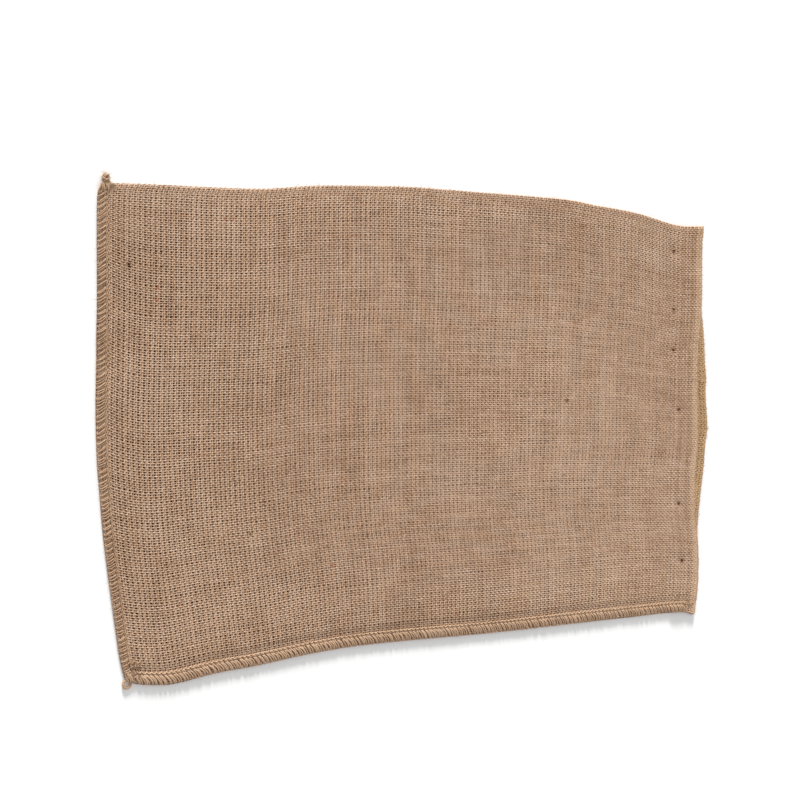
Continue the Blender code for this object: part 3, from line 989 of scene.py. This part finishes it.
# columns: count, lowest and highest run, lowest and highest wrap, out_mm
HAIR_PLACES = (
    (OPEN_HAIRS, (0, LENGTH), (0.005, 1.0), 0.55),
    (FOLD_HAIRS, (0, LENGTH), (1.1, 1.8), 0.5),
    (EDGE_HAIRS, (0, 0.99 * LENGTH), (0.004, 0.004), 0.6),
    (EDGE_HAIRS, (2 * MM, 2 * MM), (0, 1), 0.6),
    (EDGE_HAIRS, (LENGTH, LENGTH), (0, 1), 0.3),
    (EDGE_HAIRS, (BACK_LIP_RUN, BACK_LIP_RUN), (2, 3), 0.3),
)
# The hairs of an edge head out from it. Those on the open cloth head anywhere.
EDGE_HEADINGS = (np.pi / 2, -np.pi / 2, np.pi, 0.0, 0.0)


def anywhere(low, high, count):
    """Random numbers between two bounds, or the same number where the bounds are one."""
    return np.full(count, low) if low == high else rng.uniform(low, high, count)


starts, headings = [], []
for count, runs, wraps, out in HAIR_PLACES:
    hair_runs, hair_wraps = anywhere(*runs, count), anywhere(*wraps, count)
    starts.append(cloth_surface(hair_runs, hair_wraps, out * MM)[0])
headings.append(rng.uniform(0, 2 * np.pi, OPEN_HAIRS))
for (count, *_), heading in zip(HAIR_PLACES[1:], EDGE_HEADINGS):
    headings.append(rng.normal(heading, 0.9, count))
starts, headings = np.concatenate(starts), np.concatenate(headings)
print(len(starts), "hairs")

# %% Grow the hairs
hair_count = len(starts)
lengths = rng.gamma(4, 1.3, hair_count) * MM
lengths[OPEN_HAIRS:] *= 0.5
lifts, bends = rng.uniform(0.2, 1.3, hair_count) * MM, rng.normal(0, 1.6, hair_count)
lines = hairs(starts, headings, lengths, lifts, bends)
lines[..., 2] = np.maximum(lines[..., 2], 0.25 * MM)  # none goes through the floor


def fibre_piece(name, lines, thinnest, spread, tone, facing, profile, closed=False):
    """One piece of fine fibres, each with its own thickness in millimetres and its own tone."""
    each = lines.shape[:2]
    thin = thinnest * MM + spread * MM * rng.random(len(lines))
    tones = rng.normal(tone, 1.0, len(lines))
    maps = {"tone": np.broadcast_to(tones[:, None], each), "deep": np.zeros(each)}
    thin = np.broadcast_to(thin[:, None], each)
    facing = np.broadcast_to(facing, lines.shape)
    return ribbons(name, lines, facing, thin, thin, profile, maps, closed=closed)


fuzz = fibre_piece("loose_fibres", lines, 0.055, 0.035, 1.4, (0.0, 0.0, 1.0), FLAT)
print("longest hair, mm:", round(float(lengths.max()) / MM, 1))

# %% Curls of fibre
FIBRE = tuple((math.cos(a), math.sin(a)) for a in (0.5, 2.6, 4.7))
curl_lines = []


def curl(start, heading, radius, turns, rise):
    """A ring-like curl of fibre, as a line that starts by heading that way."""
    angle = np.linspace(0, 2 * np.pi * turns, HAIR_STEPS * 3)
    hand = rng.choice((-1, 1))
    shape = radius * (1 - 0.25 * angle / angle[-1])
    x = np.sin(angle) * shape
    y = hand * (1 - np.cos(angle)) * shape
    cos, sin = math.cos(heading), math.sin(heading)
    return start + np.stack([x * cos - y * sin, x * sin + y * cos, rise * np.sin(angle / 2) ** 2], -1)


def tuft(centre, heading, spread, count, radius, turns):
    """Curls that start near one point and head about the same way."""
    for _ in range(count):
        start = centre + rng.normal(size=3) * (1.2 * MM, 1.2 * MM, 0.3 * MM)
        start[2] = max(start[2], 0.6 * MM)
        size = radius * MM * rng.uniform(0.6, 1.3)
        aim, turned = rng.normal(heading, spread), turns * rng.uniform(0.6, 1.2)
        curl_lines.append(curl(start, aim, size, turned, rng.uniform(0, 1.6) * MM))


# %% Tufts at the knot, the loop, the corner and the mouth
band_end = front_place(np.array([0.004]), np.array([0.01]))[0] + SHIFT
tuft(knot_centre + (-1.0 * MM, 3.0 * MM, 1.0 * MM), 2.0, 0.7, 16, 2.0, 0.62)
tuft(knot_centre + (2.5 * MM, 2.0 * MM, 0.5 * MM), 0.9, 0.6, 9, 1.4, 0.5)
tuft(np.array([band_end[0] + 0.5 * MM, band_end[1] - 8 * MM, 2.5 * MM]), 2.6, 0.8, 12, 1.9, 0.7)
tuft(loop_centre, 4.2, 1.6, 10, 1.5, 0.6)
tuft(np.array([corner[0] + 3 * MM, corner[1] + 3 * MM, 3.8 * MM]), 0.5, 1.8, 14, 1.7, 0.6)
for tuft_wrap, tuft_count in ((2.52, 10), (0.50, 5), (0.14, 7), (2.30, 5)):
    spot = cloth_surface(np.array([LENGTH + 0.6 * MM]), np.array([tuft_wrap]), 0.4 * MM)[0][0]
    tuft(spot, 0.0, 0.8, tuft_count, 1.3, 0.45)
curls = np.stack(curl_lines)
curls[..., 2] = np.maximum(curls[..., 2], 0.2 * MM)
frays = fibre_piece("frayed_ends", curls, 0.10, 0.07, 1.0, (0.0, 0.05, 1.0), FIBRE, closed=True)
print({piece.name: len(piece.data.polygons) * 2 for piece in (knots, fuzz, frays)})

# %% [markdown]
# Hardly any light gets in between the two panels of an old sack, so what shows through the holes
# of the front is nearly black. A nearly black sheet of painted shade lies on the inner side of the
# back panel for this, and it ends well before the mouth.

# %% The sheet of painted shade inside
SHADE_SHEET_STEP = 2
shade_sheet_columns = np.arange(2, mouth - 4, SHADE_SHEET_STEP)
shade_sheet_rows = back_wefts[6:-3:SHADE_SHEET_STEP]
crop = np.ix_(shade_sheet_columns, shade_sheet_rows)
# A sheet of painted shade, a little inside the back panel's yarns
shade_sheet_points = middle_points[crop] - outward[crop] * (0.52 * MM)
number = np.arange(shade_sheet_points[..., 0].size).reshape(shade_sheet_points.shape[:2])
shade_sheet_quads = np.stack([number[:-1, :-1], number[:-1, 1:], number[1:, 1:], number[1:, :-1]], -1)
shade_sheet_quads = shade_sheet_quads.reshape(-1, 4)
shares = (np.linspace(0, 1, len(shade_sheet_columns)), np.linspace(0, 1, len(shade_sheet_rows)))
shade_sheet_uv = np.stack(np.meshgrid(*shares, indexing="ij"), -1).reshape(-1, 2)[shade_sheet_quads.ravel()]
inside_shade_sheet = write_mesh("inside_shade_sheet", shade_sheet_points.reshape(-1, 3), shade_sheet_quads, {"OFBake": shade_sheet_uv}, {})
print("inside mat:", len(shade_sheet_quads) * 2, "triangles")

# %% [markdown]
# A needle hole goes through every layer, so no light comes back out of it. Each is a small dark
# cup between the yarns that the needle pushed apart.

# %% Needle holes
CUP_SIDES = 10
# columns: share of the hole's radius, out_mm
CUP_RINGS = ((1.3, 0.85), (0.8, 0.35), (0.1, -0.3))
turns = np.arange(CUP_SIDES) * 2 * np.pi / CUP_SIDES
next_side = (np.arange(CUP_SIDES) + 1) % CUP_SIDES
cup_points, cup_quads, cup_uvs = [], [], []
for pin_run, pin_across, pin_radius in PIN_HOLES:
    first = CUP_SIDES * len(cup_points)
    for ring_share, out in CUP_RINGS:
        wobble = 1 + 0.22 * rng.normal(size=CUP_SIDES)
        reach = ring_share * pin_radius * wobble * MM
        cup_run = pin_run * MM + 0.8 * reach * np.cos(turns)
        cup_place = (1 - pin_across) * WIDTH + reach * np.sin(turns)
        cup_points.append(cloth_surface(cup_run, cup_place / WIDTH, out * MM)[0])
    for lower_ring in (first, first + CUP_SIDES):
        near, beside = lower_ring + np.arange(CUP_SIDES), lower_ring + next_side
        cup_quads.append(np.stack([near, beside, beside + CUP_SIDES, near + CUP_SIDES], -1))
        low, high = ((len(cup_uvs) + edge) / (2 * len(PIN_HOLES)) for edge in (0.1, 0.9))
        left = np.arange(CUP_SIDES) / CUP_SIDES
        right = left + 0.9 / CUP_SIDES
        square = [(left, low), (right, low), (right, high), (left, high)]
        cup_uvs.append(np.array([(u, 0 * u + v) for u, v in square]).transpose(2, 0, 1).reshape(-1, 2))
needle_holes = write_mesh(
    "needle_holes", np.concatenate(cup_points), np.concatenate(cup_quads),
    {"OFBake": np.concatenate(cup_uvs)}, {},
)
print("needle holes:", len(PIN_HOLES))

# %% [markdown]
# ## Jute as a material
#
# Jute fibre is a dull straw brown with a faint silky sheen that dust has mostly hidden. In a
# yarn the fibres lie at a slant because the yarn is twisted. Three small shader groups make this.
# The first gives the slanted fibres as streaks, the second tints the yarn, and the third adds
# what belongs to the whole sack and not to one yarn: dusty and rubbed areas.

# %% Make a shader node or a group
FLOAT, COLOUR = "NodeSocketFloat", "NodeSocketColor"


def node(tree, kind, inputs=None, **settings):
    made = tree.nodes.new("ShaderNode" + kind)
    for key, value in settings.items():
        setattr(made, key, value)
    for key, value in (inputs or {}).items():
        if isinstance(value, bpy.types.NodeSocket):
            tree.links.new(value, made.inputs[key])
        else:
            made.inputs[key].default_value = value
    return made


def group(name, inputs, outputs):
    """A new shader group with these float or colour sockets, and its two end nodes."""
    tree = bpy.data.node_groups.new(name, "ShaderNodeTree")
    for label, kind, value in inputs:
        socket = tree.interface.new_socket(label, in_out="INPUT", socket_type=kind)
        socket.default_value = value
    for label, kind in outputs:
        tree.interface.new_socket(label, in_out="OUTPUT", socket_type=kind)
    return tree, tree.nodes.new("NodeGroupInput"), tree.nodes.new("NodeGroupOutput")


# %% Short names for the nodes used most
def value_math(tree, operation, first, second=0.0, clamp=False):
    made = node(tree, "Math", {0: first, 1: second}, operation=operation, use_clamp=clamp)
    return made.outputs[0]


def times(tree, first, second):
    return value_math(tree, "MULTIPLY", first, second)


def plus(tree, first, second):
    return value_math(tree, "ADD", first, second)


def colour_mix(tree, factor, first, second, blend="MIX"):
    inputs = {0: factor, 6: first, 7: second}
    return node(tree, "Mix", inputs, data_type="RGBA", blend_type=blend).outputs[2]


def remap(tree, value, low, high, to_low=0.0, to_high=1.0):
    inputs = {0: value, 1: low, 2: high, 3: to_low, 4: to_high}
    return node(tree, "MapRange", inputs, interpolation_type="SMOOTHSTEP").outputs[0]


def noise(tree, vector, scale, detail):
    return node(tree, "TexNoise", {"Vector": vector, "Scale": scale, "Detail": detail}).outputs[0]


def attribute(tree, name):
    return node(tree, "Attribute", attribute_name=name).outputs["Fac"]


# %% Group: fibres that slant round the yarn
sockets = [("Streaks", FLOAT), ("Flecks", FLOAT), ("Height", FLOAT)]
fibre_group, given, result = group("jute_fibres", [("Twist", FLOAT, 0.6)], sockets)
tree = fibre_group
yarn_uv = node(tree, "SeparateXYZ", {0: node(tree, "UVMap", uv_map="yarn").outputs[0]}).outputs
slanted = times(tree, yarn_uv[0], given.outputs["Twist"])
across_yarn = value_math(tree, "SUBTRACT", yarn_uv[1], slanted)
along_yarn = plus(tree, yarn_uv[0], yarn_uv[1])


def stretched(lengthways, sideways):
    """A direction for noise with this many waves to the metre along and across the fibres."""
    inputs = {0: times(tree, along_yarn, lengthways), 1: times(tree, across_yarn, sideways)}
    return node(tree, "CombineXYZ", inputs).outputs[0]


fine, coarse = stretched(260.0, 2300.0), stretched(90.0, 900.0)
fine_part = times(tree, noise(tree, fine, 1.0, 2.0), 0.6)
streaks = plus(tree, fine_part, times(tree, noise(tree, coarse, 1.0, 2.0), 0.4))
flecks = noise(tree, coarse, 0.31, 1.0)
tree.links.new(remap(tree, streaks, 0.32, 0.68), result.inputs["Streaks"])
tree.links.new(remap(tree, flecks, 0.70, 0.78), result.inputs["Flecks"])
tree.links.new(streaks, result.inputs["Height"])
print(fibre_group.name, len(tree.nodes), "nodes")

# %% Group: the tint of a yarn
DARK, MID, PALE = (0.30, 0.172, 0.098, 1), (0.54, 0.355, 0.233, 1), (0.71, 0.53, 0.40, 1)
REDDISH, RUST = (0.42, 0.12, 0.05, 1), (0.23, 0.085, 0.04, 1)
sockets = [("Tone", FLOAT, 0.0), ("Red", FLOAT, 0.0), ("Streaks", FLOAT, 0.5), ("Flecks", FLOAT, 0.0)]
tint_group, given, result = group("jute_tint", sockets, [("Color", COLOUR)])
tree = tint_group
by_tone = times(tree, given.outputs["Tone"], 0.13)
level = plus(tree, by_tone, times(tree, given.outputs["Streaks"], 0.55))
level = value_math(tree, "ADD", level, 0.20, clamp=True)
lower = colour_mix(tree, remap(tree, level, 0.0, 0.5), DARK, MID)
tint = colour_mix(tree, remap(tree, level, 0.5, 1.0), lower, PALE)
tint = colour_mix(tree, given.outputs["Red"], tint, REDDISH)
tint = colour_mix(tree, given.outputs["Flecks"], tint, RUST)
tree.links.new(tint, result.inputs["Color"])
print(tint_group.name, len(tree.nodes), "nodes")

# %% Group: dust and wear over the whole sack
DUST, GRIME = (0.62, 0.50, 0.39, 1), (0.25, 0.16, 0.10, 1)
sockets = [("Color", COLOUR), ("Dust", FLOAT)]
wear_group, given, result = group("sack_wear", [("Color", COLOUR, (0.4, 0.3, 0.2, 1))], sockets)
tree = wear_group
where = node(tree, "TexCoord").outputs["Object"]
broad = times(tree, noise(tree, where, 7.0, 3.0), 0.6)
dust = plus(tree, broad, times(tree, noise(tree, where, 45.0, 3.0), 0.4))
dusty, darker = remap(tree, dust, 0.42, 0.62), remap(tree, dust, 0.50, 0.36)
worn = colour_mix(tree, times(tree, dusty, 0.12), given.outputs["Color"], DUST)
worn = colour_mix(tree, times(tree, darker, 0.14), worn, GRIME)
tree.links.new(worn, result.inputs["Color"])
tree.links.new(dusty, result.inputs["Dust"])
print(wear_group.name, len(tree.nodes), "nodes")

# %% [markdown]
# Between two yarns hardly any light comes back, and a yarn gets darker where it dives under its
# neighbour. The weave itself casts such shade, and the material paints more shade on top of it:
# each yarn carries a number for how deep it lies, and the material paints shade by it. At the lip
# the cloth is a little more golden.

# %% Build a jute material from the groups
# SHADE is the colour of the painted shade in deep places
SHADE, GOLD = (0.13, 0.045, 0.016, 1), (0.62, 0.42, 0.25, 1)
SLANT_PAINTED_LIGHT, SLANT_SHADE = 1.9, 0.35


def jute_material(name, twist, recess=0.8, cast=(1, 1, 1, 1)):
    """recess is how dark the painted shade of the deep places gets, and cast is a colour over all of it.
    """
    material = bpy.data.materials.new(name)
    material.use_nodes = True
    tree = material.node_tree
    shader = tree.nodes["Principled BSDF"]
    # Painted light: one corner of each float lighter and the other darker, slanting with the twist
    half_turn = value_math(tree, "SINE", times(tree, attribute(tree, "step"), math.pi))
    yarn_uv = node(tree, "SeparateXYZ", {0: node(tree, "UVMap", uv_map="yarn").outputs[0]}).outputs
    slant = times(tree, times(tree, yarn_uv[1], 1 / MM), half_turn)
    tone = plus(tree, attribute(tree, "tone"), times(tree, slant, SLANT_PAINTED_LIGHT))
    fibres = node(tree, "Group", {"Twist": twist}, node_tree=fibre_group).outputs
    inputs = {"Tone": tone, "Red": attribute(tree, "red")}
    inputs.update({label: fibres[label] for label in ("Streaks", "Flecks")})
    tint = node(tree, "Group", inputs, node_tree=tint_group).outputs["Color"]
    worn = node(tree, "Group", {"Color": tint}, node_tree=wear_group).outputs["Color"]
    deep = value_math(tree, "SUBTRACT", attribute(tree, "deep"), times(tree, slant, SLANT_SHADE))
    golden = colour_mix(tree, times(tree, attribute(tree, "gold"), 0.28), worn, GOLD)
    # Painted shade in the deep places
    shaded = colour_mix(tree, remap(tree, deep, 0.1, 1.2, 0.0, recess), golden, SHADE)
    finished = colour_mix(tree, 1.0, shaded, cast, "MULTIPLY")
    tree.links.new(finished, shader.inputs["Base Color"])
    rough = remap(tree, fibres["Streaks"], 0.0, 1.0, 0.95, 0.82)
    tree.links.new(rough, shader.inputs["Roughness"])
    bump = node(tree, "Bump", {"Height": fibres["Height"], "Strength": 0.7, "Distance": 0.25 * MM})
    tree.links.new(bump.outputs[0], shader.inputs["Normal"])
    shader.inputs["Specular IOR Level"].default_value = 0.25
    return material


# %% The nearly black material of painted shade, for the inside and the needle holes
NEARLY_BLACK, DARK_BROWN = (0.036, 0.012, 0.005, 1), (0.10, 0.038, 0.018, 1)
inside_shade_paint = bpy.data.materials.new("inside_painted_shade")
inside_shade_paint.use_nodes = True
tree = inside_shade_paint.node_tree
shade_shader = tree.nodes["Principled BSDF"]
# Painted shade, from nearly black to dark brown, varied a little by noise
shade_noise = noise(tree, node(tree, "TexCoord").outputs["Object"], 160.0, 3.0)
shade_tint = colour_mix(tree, shade_noise, NEARLY_BLACK, DARK_BROWN)
tree.links.new(shade_tint, shade_shader.inputs["Base Color"])
tree.links.new(remap(tree, shade_noise, 0.0, 1.0, 1.0, 0.9), shade_shader.inputs["Roughness"])
print(inside_shade_paint.name, len(tree.nodes), "nodes")
for piece in (inside_shade_sheet, needle_holes):
    piece.data.materials.append(inside_shade_paint)
    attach(piece, "root")

# %% [markdown]
# The same jute looks different from place to place. The seam threads are spun harder, so their
# fibres slant more, and both are greyer than the cloth. The thread of the bottom is the darkest,
# the hem is golden where it shows its inner face, and a loose hair has no twist and no shade.

# %% Dress the cloth
# The third number is how dark the painted shade in deep places gets
cloth_jute = jute_material("cloth_jute", 0.6, 0.66)
thread_jute = jute_material("thread_jute", 0.9, 0.5, (0.86, 0.86, 0.84, 1))
bottom_jute = jute_material("bottom_jute", 0.9, 0.5, (0.79, 0.77, 0.72, 1))
hair_jute = jute_material("hair_jute", 0.0, 0.0)
hem_jute = jute_material("hem_jute", 0.6, 0.8, (0.95, 0.89, 0.70, 1))
for piece in cloth_pieces:
    piece.data.materials.append(hem_jute if "mouth" in piece.name else cloth_jute)
    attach(piece, "root")
print("dressed:", [piece.name for piece in cloth_pieces])

# %% Dress the threads and the fibres
for piece in seams:
    piece.data.materials.append(bottom_jute if "bottom" in piece.name else thread_jute)
    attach(piece, "root")
for piece in (knots, fuzz, frays):
    piece.data.materials.append(bottom_jute if piece is knots else hair_jute)
    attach(piece, "root")
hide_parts("corner_knot", "corner_loop")
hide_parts("bottom_seam")
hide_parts("side_seam")
print("dressed:", [piece.name for piece in (*seams, knots, fuzz, frays)])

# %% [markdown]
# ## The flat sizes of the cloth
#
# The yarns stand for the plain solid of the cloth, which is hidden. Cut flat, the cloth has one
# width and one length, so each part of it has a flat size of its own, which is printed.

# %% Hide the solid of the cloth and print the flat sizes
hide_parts("sack_cloth")
half_width = weft_places[front_wefts[half_rows]]
mouth_length = HEM_END - warp_runs[mouth]
# columns: wefts, their warps, flat width, flat length
PARTS_OF_THE_CLOTH = (
    ("front_wefts_a", "front_warps_a", half_width, HEM_END),
    ("front_wefts_b", "front_warps_b", WIDTH + FOLD_ARC - half_width, HEM_END),
    ("back_wefts", "back_warps", WIDTH, warp_runs[mouth]),
    ("back_mouth_wefts", "back_mouth_warps", WIDTH, mouth_length),
)
for across_yarns, length_yarns, flat_width, flat_length in PARTS_OF_THE_CLOTH:
    print(f"{across_yarns}: {flat_width:.3f} x {flat_length:.3f} m")
